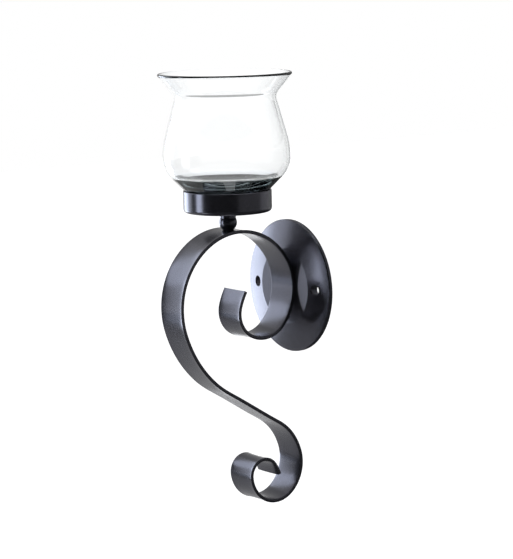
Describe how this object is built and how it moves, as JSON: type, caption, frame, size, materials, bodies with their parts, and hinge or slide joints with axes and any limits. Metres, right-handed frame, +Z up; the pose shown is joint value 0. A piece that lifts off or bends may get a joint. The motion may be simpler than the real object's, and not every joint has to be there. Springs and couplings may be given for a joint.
{
  "type": "wall candle sconce",
  "caption": "Wall candle sconce: a flat steel bar bent into a ring and scroll on a round plate, with a pan and a clear flared hurricane glass.",
  "frame": {"origin": "centre of the wall plate's back, midway between the two wall screw holes, on the wall", "axes": "+Z up, +Y into the wall, X along the wall"},
  "size_m": [0.0968, 0.1062, 0.3128],
  "materials": {
    "painted_steel": "semi-gloss dark gunmetal",
    "clear_glass": "clear, smooth",
    "zinc_steel": "zinc plated"
  },
  "bodies": {
    "sconce": {"wall_plate": "painted_steel", "scroll_strap": "painted_steel", "arm_studs": "zinc_steel", "arm_washers": "zinc_steel", "arm_nuts": "zinc_steel", "ball_spacer": "painted_steel", "pan_collar": "painted_steel", "candle_pan": "painted_steel", "pan_screw": "zinc_steel", "pan_washer": "zinc_steel", "pan_nut": "zinc_steel"},
    "glass": {"glass_hurricane": "clear_glass"}
  },
  "joints": [
    {"name": "glass_lift", "type": "slide", "parent": "sconce", "child": "glass", "axis": [0, 0, 1], "range_m": [0, 0.1]}
  ]
}
